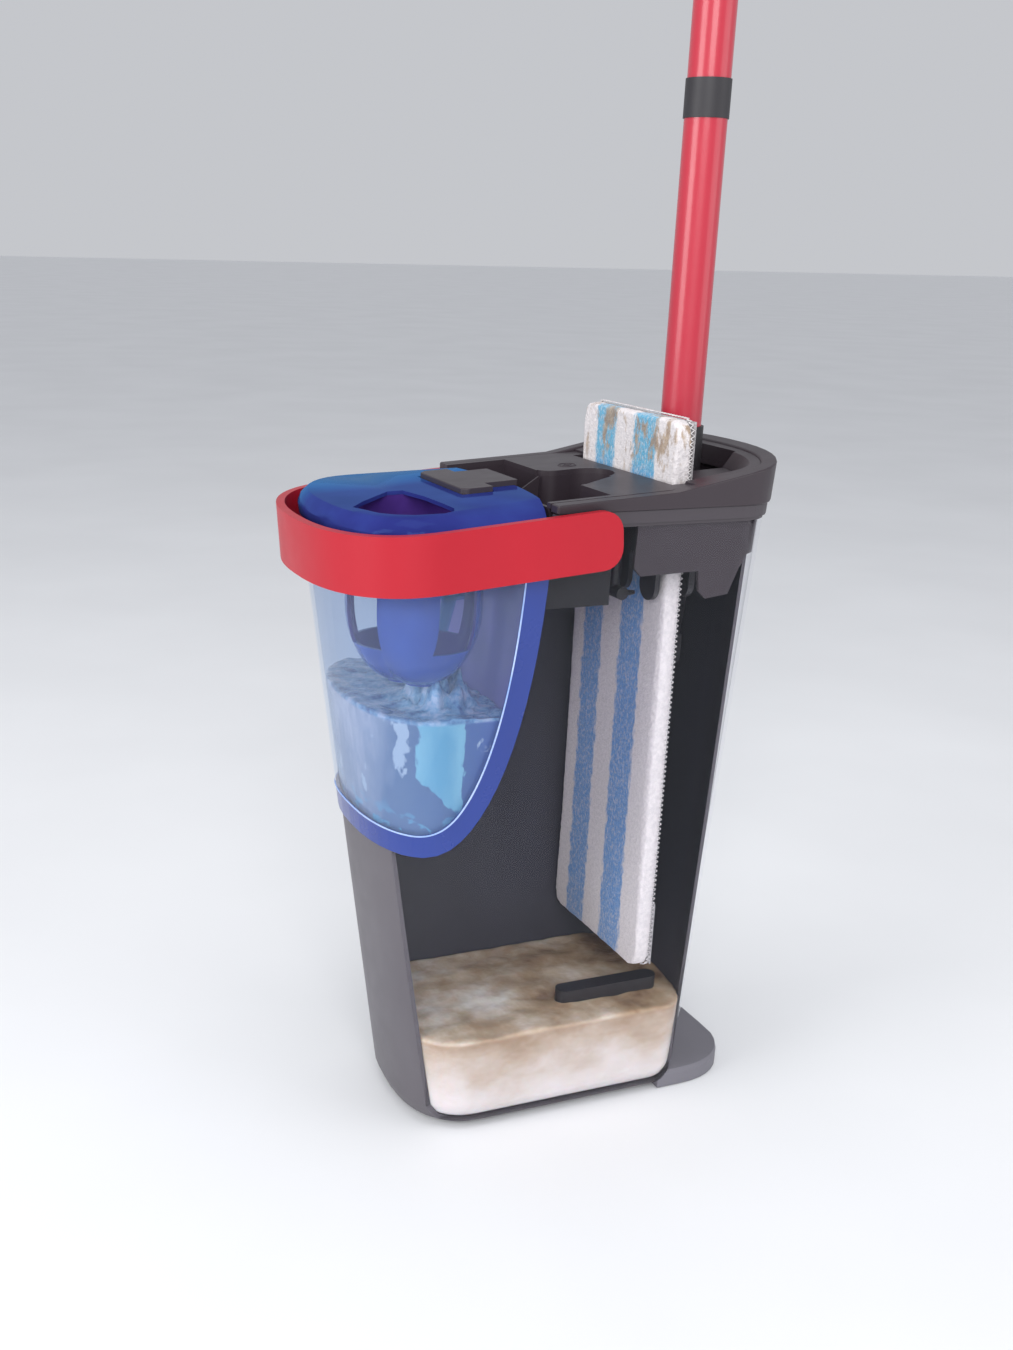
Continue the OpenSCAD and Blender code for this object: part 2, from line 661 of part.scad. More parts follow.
// ---- mop ----
plate_x0 = 49.3;
plate_x1 = 52.4;
pad_x0 = 41;
pad_x1 = 52;
mid_z = pad_z + pad_len / 2;
module upright_box(x0, x1, half, z0, z1, r) {
    translate([x0, 0, (z0 + z1) / 2]) rotate([0, 90, 0]) linear_extrude(x1 - x0) union() {
        square([z1 - z0 - 2 * r, 2 * half], center = true);
        square([z1 - z0, 2 * half - 2 * r], center = true);
        for (a = [-1, 1], b = [-1, 1])
            translate([a * ((z1 - z0) / 2 - r), b * (half - r)]) circle(r = r, $fn = 48);
    }
}
module mop_plate() color("darkslategray") difference() {
    upright_box(plate_x0, plate_x1, pad_half - 9, pad_z + 5, pad_z + pad_len - 5, 12);
    for (s = [-1, 1], k = [-1, 1]) translate([40, s * 19, mid_z + k * 22]) rotate([0, 90, 0])
        cylinder(r = 1.5, h = 20, $fn = 32);
}
module mop_pad() color("white") difference() {
    upright_box(pad_x0, pad_x1, pad_half, pad_z, pad_z + pad_len, 9);
    upright_box(plate_x0 - 0.1, pad_x1 + 1, pad_half - 8.9, pad_z + 4.9, pad_z + pad_len - 4.9, 12);
}
module pad_pockets() color("white") for (k = [-1, 1]) intersection() {
    upright_box(plate_x1 + 0.05, plate_x1 + 1.2, pad_half - 1.5, pad_z + 1.5, pad_z + pad_len - 1.5, 8);
    translate([50, -60, mid_z + k * (pad_len / 2 - 22) - 22]) cube([10, 120, 44]);
}
pin_x = 66;
cross_x = 77;
cross_z = mid_z + 19;
module joint_base() color("darkslategray") difference() {
    union() {
        upright_box(plate_x1, 56.5, 24, mid_z - 28, mid_z + 28, 6);
        for (s = [-1, 1]) translate([0, s * 17, 0]) {
            translate([56, -3, mid_z - 7]) cube([pin_x - 56, 6, 14]);
            translate([pin_x, 0, mid_z]) rotate([90, 0, 0]) cylinder(r = 7, h = 6, center = true, $fn = 48);
        }
    }
    translate([pin_x, 0, mid_z]) rotate([90, 0, 0]) cylinder(r = 3, h = 60, center = true, $fn = 48);
    for (s = [-1, 1], k = [-1, 1]) translate([50, s * 19, mid_z + k * 22]) rotate([0, 90, 0])
        cylinder(r = 1.5, h = 20, $fn = 32);
}
module joint_screws() color("silver") for (s = [-1, 1], k = [-1, 1])
    translate([plate_x0 + 0.2, s * 19, mid_z + k * 22]) rotate([0, 90, 0]) {
        cylinder(r = 1.5, h = 56.5 - plate_x0 - 0.2, $fn = 32);
        translate([0, 0, 56.5 - plate_x0 - 0.2]) cylinder(r = 3, h = 1.4, $fn = 32);
    }
module base_pin() color("silver") translate([pin_x, 0, mid_z]) rotate([90, 0, 0])
    cylinder(r = 3, h = 41, center = true, $fn = 48);
module joint_cross() color("black") difference() {
    union() {
        translate([pin_x, 0, mid_z]) rotate([90, 0, 0]) cylinder(r = 7.5, h = 27, center = true, $fn = 48);
        translate([cross_x - 6.4, 0, cross_z]) rotate([0, 90, 0]) cylinder(r = 6.5, h = 12.8, $fn = 48);
        translate([cross_x - 6.4, -6.4, mid_z]) cube([12.8, 12.8, cross_z - mid_z]);
        translate([pin_x, -6.4, mid_z - 7.4]) cube([cross_x - pin_x + 6.4, 12.8, 14]);
    }
    translate([pin_x, 0, mid_z]) rotate([90, 0, 0]) cylinder(r = 3.06, h = 60, center = true, $fn = 48);
    translate([cross_x - 20, 0, cross_z]) rotate([0, 90, 0]) cylinder(r = 2.5, h = 40, $fn = 48);
}
module cross_pin() color("silver") translate([cross_x - 10, 0, cross_z]) rotate([0, 90, 0])
    cylinder(r = 2.5, h = 20, $fn = 48);

adaptor_z0 = mid_z + 31;
adaptor_z1 = 436;
tube_z0 = 392;
tube_t = 1;
collar_h = 21;
lower_end = 609;
middle_end = 1040;
grip_len = 130;
module pole_adaptor() color("black") translate([cross_x, 0, 0]) difference() {
    union() {
        translate([0, 0, adaptor_z0]) cylinder(r1 = 10, r2 = 12.5, h = 24, $fn = 60);
        translate([0, 0, adaptor_z0 + 24]) cylinder(r1 = 12.5, r2 = pole_r + 1.6, h = 46, $fn = 60);
        translate([0, 0, adaptor_z0 + 70]) cylinder(r = pole_r + 1.6, h = adaptor_z1 - adaptor_z0 - 70, $fn = 60);
        for (s = [-1, 1]) translate([s * 8.4 - 1.6, 0, 0]) {
            translate([0, -6.5, cross_z]) cube([3.2, 13, adaptor_z0 + 2 - cross_z]);
            translate([0, 0, cross_z]) rotate([0, 90, 0]) cylinder(r = 6.5, h = 3.2, $fn = 48);
        }
    }
    translate([0, 0, tube_z0]) cylinder(r = pole_r, h = 60, $fn = 60);
    translate([-20, 0, cross_z]) rotate([0, 90, 0]) cylinder(r = 2.56, h = 40, $fn = 48);
}
module tube(z0, z1) translate([cross_x, 0, z0]) difference() {
    cylinder(r = pole_r, h = z1 - z0, $fn = 60);
    translate([0, 0, -1]) cylinder(r = pole_r - tube_t, h = z1 - z0 + 2, $fn = 60);
}
module collar(z0) translate([cross_x, 0, z0]) difference() {
    union() {
        cylinder(r = pole_r + 0.7, h = collar_h, $fn = 60);
        translate([0, 0, -18]) cylinder(r = pole_r - tube_t, h = collar_h + 36, $fn = 60);
    }
    translate([0, 0, -19]) cylinder(r = pole_r - 3, h = collar_h + 40, $fn = 60);
}
module pole_lower() color("crimson") tube(tube_z0, lower_end);
module collar_lower() color("black") collar(lower_end);
module pole_middle() color("crimson") tube(lower_end + collar_h, middle_end);
module collar_upper() color("black") collar(middle_end);
module pole_upper() color("crimson") tube(middle_end + collar_h, pole_top - 20);
module pole_grip() color("black") translate([cross_x, 0, pole_top - 20 - grip_len]) difference() {
    union() {
        cylinder(r = pole_r + 2, h = grip_len - 4, $fn = 72);
        for (k = [0:8]) translate([0, 0, 10 + 13 * k]) cylinder(r = pole_r + 2.8, h = 5, $fn = 72);
    }
    translate([0, 0, -1]) cylinder(r = pole_r, h = grip_len + 2, $fn = 60);
}
module pole_cap() color("black") translate([cross_x, 0, pole_top - 20]) difference() {
    union() {
        translate([0, 0, -12]) cylinder(r = pole_r - tube_t, h = 12, $fn = 60);
        cylinder(r = pole_r, h = 4, $fn = 60);
        translate([-4, -9, 3]) cube([8, 18, 9]);
        translate([-4, 0, 11]) rotate([0, 90, 0]) cylinder(r = 9, h = 8, $fn = 60);
    }
    translate([-10, 0, 11]) rotate([0, 90, 0]) cylinder(r = 4.5, h = 20, $fn = 60);
}

bucket_shell();
side_window();
foot_plate();
rubber_feet();
rest_bar();
handle_pins();
carry_handle();
insert_deck();
insert_rim();
mop_guide();
insert_skirt();
hand_hollow();
comb_front();
comb_rear();
wiper_lip_front();
wiper_lip_rear();
comb_screws();
inlet_cup();
inlet_seal();
delivery_pipe();
spray_bar();
tank_window();
tank_frame();
tank_back();
tank_lid();
lid_gasket();
fill_funnel();
pump_gland();
pump_barrel();
outlet_spout();
suction_pipe();
suction_filter();
pump_spring();
pump_key();
pump_piston();
piston_seal();
mop_plate();
mop_pad();
pad_pockets();
joint_base();
joint_screws();
base_pin();
joint_cross();
cross_pin();
pole_adaptor();
pole_lower();
collar_lower();
pole_middle();
collar_upper();
pole_upper();
pole_grip();
pole_cap();
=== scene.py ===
"""Looks of the two-tank mop bucket set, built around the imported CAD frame. Metres, +Z up."""
import json
import math

import bmesh
import bpy
from mathutils import Matrix, Vector, noise


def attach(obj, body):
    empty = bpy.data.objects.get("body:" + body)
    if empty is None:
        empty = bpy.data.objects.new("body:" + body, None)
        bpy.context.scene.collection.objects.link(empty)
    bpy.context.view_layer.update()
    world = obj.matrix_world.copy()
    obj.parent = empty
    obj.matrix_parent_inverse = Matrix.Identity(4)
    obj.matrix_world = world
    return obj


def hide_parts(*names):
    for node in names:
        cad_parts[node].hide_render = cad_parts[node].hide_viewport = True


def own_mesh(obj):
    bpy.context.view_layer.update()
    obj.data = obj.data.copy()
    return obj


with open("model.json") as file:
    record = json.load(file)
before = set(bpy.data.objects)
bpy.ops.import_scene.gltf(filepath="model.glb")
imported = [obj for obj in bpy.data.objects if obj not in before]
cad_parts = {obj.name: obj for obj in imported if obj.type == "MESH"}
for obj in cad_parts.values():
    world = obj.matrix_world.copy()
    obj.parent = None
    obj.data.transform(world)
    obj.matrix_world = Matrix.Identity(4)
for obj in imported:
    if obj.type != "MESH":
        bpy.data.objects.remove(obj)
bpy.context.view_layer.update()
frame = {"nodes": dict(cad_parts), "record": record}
MM = 0.001

# ---- sizes shared with the CAD model, in millimetres; a lean is millimetres per millimetre of height ----
END_N = 2.4  # how square the bucket's ends are
SIDE_HALF, SIDE_LEAN = 58, 0.055
FRONT_X, FRONT_LEAN, FRONT_REACH = -62, 0.13, 45
REAR_X, REAR_LEAN, REAR_REACH, REAR_REACH_LEAN = 62, 0.03, 28, 0.02
WALL = 2.4
FLOOR_TOP = 5.4
SCOOP_X, SCOOP_Z, SCOOP_N, SCOOP_DEPTH = -122.0, 404.0, 2.3, 206.0
SCOOP_REAR, SCOOP_FRONT = 74, 112
PAD_HALF, PAD_Z0, PAD_Z1 = 57.0, 96.0, 446.0

# ---- sizes of the visual model only ----
DIRTY_LEVEL = 66.0  # millimetres
CLEAN_LEVEL = 284.0  # millimetres
WELD_GAP = 0.00002  # metres


def blunt(v, n):
    """v, a sine or cosine, for a superellipse of power n."""
    return math.copysign(abs(v) ** (2 / n), v)


def front_centre(z):
    """Where the bucket's rounded front begins at height z."""
    return FRONT_X - FRONT_LEAN * z


def outline(z, off, steps=32):
    """Plan outline of the bucket at height z, grown by off."""
    half = SIDE_HALF + SIDE_LEAN * z + off
    rear_centre = REAR_X + REAR_LEAN * z
    rear_reach = REAR_REACH + REAR_REACH_LEAN * z + off
    front = [(front_centre(z) - (FRONT_REACH + off) * blunt(math.cos(t), END_N),
              half * blunt(math.sin(t), END_N))
             for t in (math.radians(-90 + 180 * i / steps) for i in range(steps + 1))]
    rear = [(rear_centre + rear_reach * blunt(math.cos(t), END_N), half * blunt(math.sin(t), END_N))
            for t in (math.radians(90 - 180 * i / steps) for i in range(steps + 1))]
    return front + rear


def scoop(inset, steps=40):
    """Side view of the tank's scoop, inset, from the rear lip round to the front."""
    path = []
    for t in (math.pi * k / steps for k in range(steps + 1)):
        reach = (SCOOP_REAR if math.cos(t) > 0 else SCOOP_FRONT) - inset
        path.append((SCOOP_X + reach * blunt(math.cos(t), SCOOP_N),
                     SCOOP_Z - (SCOOP_DEPTH - inset) * blunt(math.sin(t), SCOOP_N)))
    return path


# ---- mesh helpers ----
def new_object(name, bm):
    mesh = bpy.data.meshes.new(name)
    bm.normal_update()
    bm.to_mesh(mesh)
    bm.free()
    obj = bpy.data.objects.new(name, mesh)
    bpy.context.scene.collection.objects.link(obj)
    return obj


def loft(name, rings):
    """Closed solid through rings of equal length, each a list of (x, y, z) in millimetres."""
    bm = bmesh.new()
    loops = [[bm.verts.new(Vector(p) * MM) for p in ring] for ring in rings]
    count = len(loops[0])
    for low, high in zip(loops, loops[1:]):
        for i in range(count):
            bm.faces.new((low[i], high[i], high[(i + 1) % count], low[(i + 1) % count]))
    bm.faces.new(loops[0])
    bm.faces.new(loops[-1][::-1])
    bmesh.ops.recalc_face_normals(bm, faces=bm.faces)
    return new_object(name, bm)


def apply_modifiers(obj):
    """Replaces the object's mesh with what its modifiers make of it."""
    bpy.context.view_layer.update()
    graph = bpy.context.evaluated_depsgraph_get()
    mesh = bpy.data.meshes.new_from_object(obj.evaluated_get(graph))
    obj.modifiers.clear()
    obj.data = mesh
    return obj


def welded_copy(node, name):
    """A new piece with a CAD node's mesh, welded."""
    piece = bpy.data.objects.new(name, frame["nodes"][node].data.copy())
    bpy.context.scene.collection.objects.link(piece)
    weld = piece.modifiers.new("weld", "WELD")
    weld.merge_threshold = WELD_GAP
    return apply_modifiers(piece)


def remesh(obj, voxel):
    """Even voxel mesh; voxel is in millimetres."""
    mod = obj.modifiers.new("voxels", "REMESH")
    mod.mode = "VOXEL"
    mod.voxel_size = voxel * MM
    mod.adaptivity = 0
    return apply_modifiers(obj)


def intersect(obj, other):
    """Keeps the part of obj inside other, and removes other."""
    mod = obj.modifiers.new("cut", "BOOLEAN")
    mod.operation = "INTERSECT"
    mod.solver = "EXACT"
    mod.object = other
    apply_modifiers(obj)
    bpy.data.objects.remove(other)
    return obj


def smooth(obj):
    obj.data.polygons.foreach_set("use_smooth", [True] * len(obj.data.polygons))
    obj.data.update()


def wave(x, y, z, scale, seed=0.0):
    """Smooth noise from -1 to 1; scale is the size of its lumps in millimetres."""
    return noise.noise(Vector((x, y, z)) / (scale * MM) + Vector((seed, 2 * seed, 3 * seed)))


# ---- material helpers ----
class Shader:
    """A node material with a Principled shader and short calls for what feeds it."""

    def __init__(self, name):
        self.material = bpy.data.materials.new(name)
        self.material.use_nodes = True
        self.tree = self.material.node_tree
        self.tree.nodes.clear()
        self.out = self.add("ShaderNodeOutputMaterial")
        self.main = self.add("ShaderNodeBsdfPrincipled")
        self.link(self.main.outputs[0], self.out.inputs["Surface"])
        self.place = self.add("ShaderNodeTexCoord").outputs["Object"]

    def add(self, kind, **settings):
        node = self.tree.nodes.new(kind)
        for key, value in settings.items():
            setattr(node, key, value)
        return node

    def link(self, a, b):
        self.tree.links.new(a, b)

    def set(self, **values):
        for key, value in values.items():
            self.main.inputs[key.replace("_", " ")].default_value = value
        return self

    def noise(self, scale, detail=3.0, stretch=(1, 1, 1), rough=0.5):
        """Noise with lumps of 1/scale metres; stretch multiplies the coordinates."""
        place = self.place
        if stretch != (1, 1, 1):
            mapping = self.add("ShaderNodeMapping")
            mapping.inputs["Scale"].default_value = stretch
            self.link(self.place, mapping.inputs["Vector"])
            place = mapping.outputs[0]
        node = self.add("ShaderNodeTexNoise")
        node.inputs["Scale"].default_value = scale
        node.inputs["Detail"].default_value = detail
        node.inputs["Roughness"].default_value = rough
        self.link(place, node.inputs["Vector"])
        return node.outputs["Fac"]

    def axis(self, name):
        """Coordinate X, Y or Z, in metres."""
        split = self.add("ShaderNodeSeparateXYZ")
        self.link(self.place, split.inputs[0])
        return split.outputs[name]

    def math(self, operation, a, b=0.0, clamp=False):
        node = self.add("ShaderNodeMath", operation=operation, use_clamp=clamp)
        for socket, value in zip(node.inputs, (a, b)):
            if isinstance(value, (int, float)):
                socket.default_value = value
            else:
                self.link(value, socket)
        return node.outputs[0]

    def ramp(self, fac, stops):
        """Colour ramp; stops is [(position, colour)]."""
        node = self.add("ShaderNodeValToRGB")
        elements = node.color_ramp.elements
        while len(elements) < len(stops):
            elements.new(0.5)
        for element, (position, colour) in zip(elements, stops):
            element.position = position
            element.color = (*colour, 1)
        self.link(fac, node.inputs[0])
        return node.outputs[0]

    def mix(self, fac, a, b, blend="MIX"):
        node = self.add("ShaderNodeMix", data_type="RGBA", blend_type=blend)
        for socket, value in ((node.inputs[0], fac), (node.inputs[6], a), (node.inputs[7], b)):
            if isinstance(value, (int, float)):
                socket.default_value = value
            elif isinstance(value, tuple):
                socket.default_value = (*value, 1)
            else:
                self.link(value, socket)
        return node.outputs[2]

    def inward(self, centre, margin):
        """1 on faces that look towards the upright line through centre, an (x, y) in metres."""
        arm = self.add("ShaderNodeVectorMath", operation="MULTIPLY_ADD")
        self.link(self.place, arm.inputs[0])
        arm.inputs[1].default_value = (1, 1, 0)
        arm.inputs[2].default_value = (-centre[0], -centre[1], 0)
        dot = self.add("ShaderNodeVectorMath", operation="DOT_PRODUCT")
        self.link(arm.outputs[0], dot.inputs[0])
        self.link(self.add("ShaderNodeTexCoord").outputs["Normal"], dot.inputs[1])
        return self.math("LESS_THAN", dot.outputs["Value"], -margin)

    def rise(self, value, start, slope):
        """0 below start, then up to 1; slope is how steep, and a negative one falls instead."""
        if slope < 0:
            return self.math("MULTIPLY", self.math("SUBTRACT", start, value), -slope, True)
        return self.math("MULTIPLY", self.math("SUBTRACT", value, start), slope, True)

    def swing(self, fac, amount):
        """Noise fac turned into a shift either way, amount from end to end."""
        return self.math("MULTIPLY", self.math("SUBTRACT", fac, 0.5), amount)

    def colour(self, socket):
        self.link(socket, self.main.inputs["Base Color"])
        return self

    def rough(self, fac, low, high):
        node = self.add("ShaderNodeMapRange")
        node.inputs["To Min"].default_value = low
        node.inputs["To Max"].default_value = high
        self.link(fac, node.inputs["Value"])
        self.link(node.outputs[0], self.main.inputs["Roughness"])
        return self

    def bump(self, height, distance, strength=1.0):
        """Adds a bump of that depth in millimetres on top of any that is there."""
        node = self.add("ShaderNodeBump")
        node.inputs["Distance"].default_value = distance * MM
        node.inputs["Strength"].default_value = strength
        self.link(height, node.inputs["Height"])
        socket = self.main.inputs["Normal"]
        if socket.is_linked:
            self.link(socket.links[0].from_socket, node.inputs["Normal"])
        self.link(node.outputs[0], socket)
        return self

    def see_through(self, share, tint, gloss_rough=0.05, ior=1.45, gloss_tint=(1, 1, 1)):
        """Lets light of that tint through; share is how much of the Principled shader stays.
        The outer face keeps a gloss of its own, of gloss_tint."""
        clear = self.add("ShaderNodeBsdfTransparent")
        clear.inputs[0].default_value = (*tint, 1)
        body = self.add("ShaderNodeMixShader")
        body.inputs[0].default_value = share
        self.link(clear.outputs[0], body.inputs[1])
        self.link(self.main.outputs[0], body.inputs[2])
        gloss = self.add("ShaderNodeBsdfGlossy")
        gloss.inputs["Color"].default_value = (*gloss_tint, 1)
        gloss.inputs["Roughness"].default_value = gloss_rough
        fresnel = self.add("ShaderNodeFresnel")
        fresnel.inputs["IOR"].default_value = ior
        front = self.math("SUBTRACT", 1.0, self.add("ShaderNodeNewGeometry").outputs["Backfacing"])
        top = self.add("ShaderNodeMixShader")
        self.link(self.math("MULTIPLY", fresnel.outputs[0], front), top.inputs[0])
        self.link(body.outputs[0], top.inputs[1])
        self.link(gloss.outputs[0], top.inputs[2])
        self.link(top.outputs[0], self.out.inputs["Surface"])
        return self


def srgb(code):
    """Linear colour of a hex code."""
    values = [int(code[i:i + 2], 16) / 255 for i in (0, 2, 4)]
    return tuple(v / 12.92 if v < 0.04045 else ((v + 0.055) / 1.055) ** 2.4 for v in values)


def shade(colour, k):
    """The colour, k times as bright."""
    return tuple(min(1.0, c * k) for c in colour)


def plastic(name, code, rough=0.45, grain=0.03, grain_scale=1800, spread=0.08, coat=0.0, spec=0.5):
    """Moulded plastic: fine grain, faint flow marks and a little colour variation."""
    base = srgb(code)
    s = Shader(name)
    flow = s.noise(18, 4, (1, 1, 0.4))
    fine = s.noise(grain_scale, 2)
    s.colour(s.ramp(flow, [(0.25, shade(base, 1 - spread)), (0.75, shade(base, 1 + spread))]))
    s.rough(s.noise(60, 5), rough - 0.06, rough + 0.08)
    s.bump(fine, grain).bump(flow, 0.25, 0.3)
    s.set(Specular_IOR_Level=spec, Coat_Weight=coat, Coat_Roughness=0.15)
    return s.material


def bucket_plastic():
    """Grey moulded plastic; faces that look inwards get painted shade and are darker, and the outer faces
    get painted shade near the rim.
    """
    s = Shader("bucket_plastic")
    flow = s.noise(18, 4, (1, 1, 0.4))
    outside = s.ramp(flow, [(0.25, srgb("534F55")), (0.75, srgb("5E5A60"))])
    # painted shade: faces that look inwards take this darker colour
    inside = s.ramp(s.noise(11, 5, (1, 1, 0.35)), [(0.3, srgb("24222A")), (0.7, srgb("32303A"))])
    inward = s.inward((0, 0), 0.01)
    # painted shade: the outer faces turn darker above 0.372 m, near the rim
    painted_rim_shade = s.rise(s.axis("Z"), 0.372, 300)
    s.colour(s.mix(inward, s.mix(painted_rim_shade, outside, srgb("3F393F")), inside))
    s.rough(s.noise(60, 5), 0.38, 0.52)
    s.bump(s.noise(1800, 2), 0.012).bump(flow, 0.25, 0.3)
    return s.material


def hollow_plastic():
    """Plastic of the insert's hollow; its outer faces, down in the bucket, are dark with painted shade."""
    s = Shader("hollow_plastic")
    base = srgb("352D33")
    flow = s.noise(18, 4)
    plain = s.ramp(flow, [(0.25, shade(base, 0.92)), (0.75, shade(base, 1.08))])
    outer = s.math("SUBTRACT", 1.0, s.inward((-0.0265, 0), 0.0))
    low = s.rise(s.axis("Z"), 0.392, -200)
    # painted shade: low outer faces take the near-black 17151A
    s.colour(s.mix(s.math("MULTIPLY", outer, low), plain, srgb("17151A")))
    s.rough(s.noise(60, 5), 0.34, 0.48)
    s.bump(s.noise(1800, 2), 0.03).bump(flow, 0.25, 0.3)
    s.set(Specular_IOR_Level=0.3)
    return s.material


def rubber(name, code, rough=0.75):
    """Matt rubber with a little pale dust."""
    base = srgb(code)
    s = Shader(name)
    dust = s.noise(90, 6)
    s.colour(s.ramp(dust, [(0.35, base), (0.75, shade(base, 1.9))]))
    s.rough(dust, rough - 0.08, min(1, rough + 0.1))
    s.bump(s.noise(2500, 2), 0.04)
    return s.material


def steel(name):
    """Drawn steel with grain along Z."""
    s = Shader(name)
    grain = s.noise(900, 2, (1, 1, 0.05))
    s.colour(s.ramp(grain, [(0.3, srgb("9A9A9E")), (0.7, srgb("C4C4C8"))]))
    s.rough(grain, 0.22, 0.38)
    s.bump(grain, 0.02)
    s.set(Metallic=1.0)
    return s.material


def enamel(name, code):
    """Glossy paint with a faint orange peel."""
    base = srgb(code)
    s = Shader(name)
    peel = s.noise(450, 2)
    s.colour(s.ramp(s.noise(8, 3, (1, 1, 0.2)), [(0.3, shade(base, 0.93)), (0.7, shade(base, 1.05))]))
    s.rough(s.noise(70, 5), 0.26, 0.4)
    s.bump(peel, 0.03)
    s.set(Coat_Weight=0.35, Coat_Roughness=0.12)
    return s.material


def clear_plastic(name, code, share, tint, ior=1.45):
    """Clear moulded plastic; share is how much of the colour code stays."""
    base = srgb(code)
    s = Shader(name)
    flow = s.noise(14, 4, (1, 1, 0.35))
    s.colour(s.ramp(flow, [(0.3, shade(base, 0.85)), (0.7, shade(base, 1.15))]))
    s.rough(s.noise(80, 4), 0.12, 0.22)
    s.bump(flow, 0.3, 0.25)
    s.set(Specular_IOR_Level=0.12)
    s.see_through(share, srgb(tint), 0.05, ior)
    return s.material


def lid_blue():
    """Translucent blue lid: lighter and greener towards its far edge, where light comes through."""
    s = Shader("lid_blue")
    flow = s.noise(22, 4)
    far = s.math("ADD", s.rise(s.axis("Y"), 0.018, 22), s.swing(flow, 0.3), True)
    deep = s.ramp(flow, [(0.3, srgb("272C70")), (0.7, srgb("333B86"))])
    s.colour(s.mix(far, deep, srgb("2A74B4")))
    s.rough(s.noise(80, 4), 0.14, 0.26)
    s.bump(flow, 0.4, 0.3)
    s.set(Specular_IOR_Level=0.0)
    s.see_through(0.93, srgb("4A68C4"), 0.09, 1.24, srgb("78A8E0"))
    return s.material


def funnel_blue():
    """Translucent funnel, blue outside and violet inside."""
    s = Shader("funnel_blue")
    flow = s.noise(30, 4, (1, 1, 0.4))
    outside = s.ramp(flow, [(0.3, srgb("2A3F94")), (0.7, srgb("3A5AB2"))])
    inside = s.ramp(flow, [(0.3, srgb("3C2468")), (0.7, srgb("5A3C92"))])
    s.colour(s.mix(s.inward((-0.112, -0.031), 0.002), outside, inside))
    s.rough(s.noise(80, 4), 0.12, 0.22)
    s.bump(flow, 0.3, 0.25)
    s.set(Specular_IOR_Level=0.12)
    s.see_through(0.78, srgb("6A78DC"), 0.06, 1.3)
    return s.material


MATERIALS = {
    "bucket_plastic": bucket_plastic(),
    "clear_panel": clear_plastic("clear_panel", "C9D2DC", 0.01, "FDFDFE", ior=1.07),
    "foot_plastic": plastic("foot_plastic", "706E76", 0.5),
    "rubber_black": rubber("rubber_black", "1A1A1C"),
    "dark_plastic": plastic("dark_plastic", "232025", 0.45),
    "steel": steel("steel"),
    "red_plastic": plastic("red_plastic", "AE1426", 0.38, 0.015, 2200, 0.05, spec=0.35),
    "insert_plastic": plastic("insert_plastic", "352D33", 0.4, 0.03, spec=0.4),
    "tank_clear": clear_plastic("tank_clear", "A9BBD8", 0.08, "EDF3FB", ior=1.2),
    "tank_blue": plastic("tank_blue", "1C3686", 0.25, 0.01, 2000, 0.12, 0.2),
    "tank_back_blue": clear_plastic("tank_back_blue", "A48CCB", 0.75, "B0A2DC", ior=1.2),
    "lid_blue": lid_blue(),
    "funnel_blue": funnel_blue(),
    "pump_clear": clear_plastic("pump_clear", "9AD0E6", 0.2, "C4E6F4"),
    "pad_backing": rubber("pad_backing", "A9A6A8", 0.85),
    "pole_dark": plastic("pole_dark", "28262A", 0.5),
    "pole_red": enamel("pole_red", "B4273A"),
    "grip_rubber": rubber("grip_rubber", "222022"),
}

# ---- CAD nodes: material, welded and smoothed surfaces, small rounded edges ----
# Bevel widths in millimetres, for edges over BEVEL_ANGLE degrees
EDGE = {"carry_handle": 1.3, "insert_deck": 0.8, "insert_rim": 1.2, "insert_skirt": 0.8,
        "hand_hollow": 0.6, "mop_guide": 0.8, "pump_key": 0.7, "rest_bar": 1.5, "foot_plate": 0.6,
        "tank_frame": 0.7, "tank_lid": 0.5, "comb_front": 0.8, "comb_rear": 0.8, "mop_plate": 0.6,
        "joint_base": 0.8, "joint_cross": 0.8, "pole_adaptor": 0.8, "pole_cap": 0.8, "bucket_shell": 0.8}
BEVEL_ANGLE = 40
SHARP_ANGLE = 32  # degrees; flatter edges are shaded smooth
# Nodes whose look isn't the one of their slot
OWN_LOOK = {"hand_hollow": hollow_plastic()}


def smooth_group():
    """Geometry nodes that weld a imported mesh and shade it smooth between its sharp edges."""
    group = bpy.data.node_groups.new("smooth_by_angle", "GeometryNodeTree")
    group.interface.new_socket("Geometry", in_out="INPUT", socket_type="NodeSocketGeometry")
    group.interface.new_socket("Geometry", in_out="OUTPUT", socket_type="NodeSocketGeometry")
    nodes, links = group.nodes, group.links
    start, end = nodes.new("NodeGroupInput"), nodes.new("NodeGroupOutput")
    weld = nodes.new("GeometryNodeMergeByDistance")
    weld.inputs["Distance"].default_value = WELD_GAP
    shade_smooth = nodes.new("GeometryNodeSetShadeSmooth")
    angle = nodes.new("GeometryNodeInputMeshEdgeAngle")
    sharp = nodes.new("FunctionNodeCompare")
    sharp.data_type = "FLOAT"
    sharp.operation = "GREATER_THAN"
    sharp.inputs[1].default_value = math.radians(SHARP_ANGLE)
    store = nodes.new("GeometryNodeStoreNamedAttribute")
    store.data_type = "BOOLEAN"
    store.domain = "EDGE"
    store.inputs["Name"].default_value = "sharp_edge"
    links.new(start.outputs[0], weld.inputs["Geometry"])
    links.new(weld.outputs[0], shade_smooth.inputs["Geometry"])
    links.new(shade_smooth.outputs[0], store.inputs["Geometry"])
    links.new(angle.outputs["Unsigned Angle"], sharp.inputs[0])
    value = [i for i in store.inputs if i.name == "Value" and i.type == "BOOLEAN" and i.enabled]
    links.new(sharp.outputs[0], value[0])
    links.new(store.outputs[0], end.inputs[0])
    return group


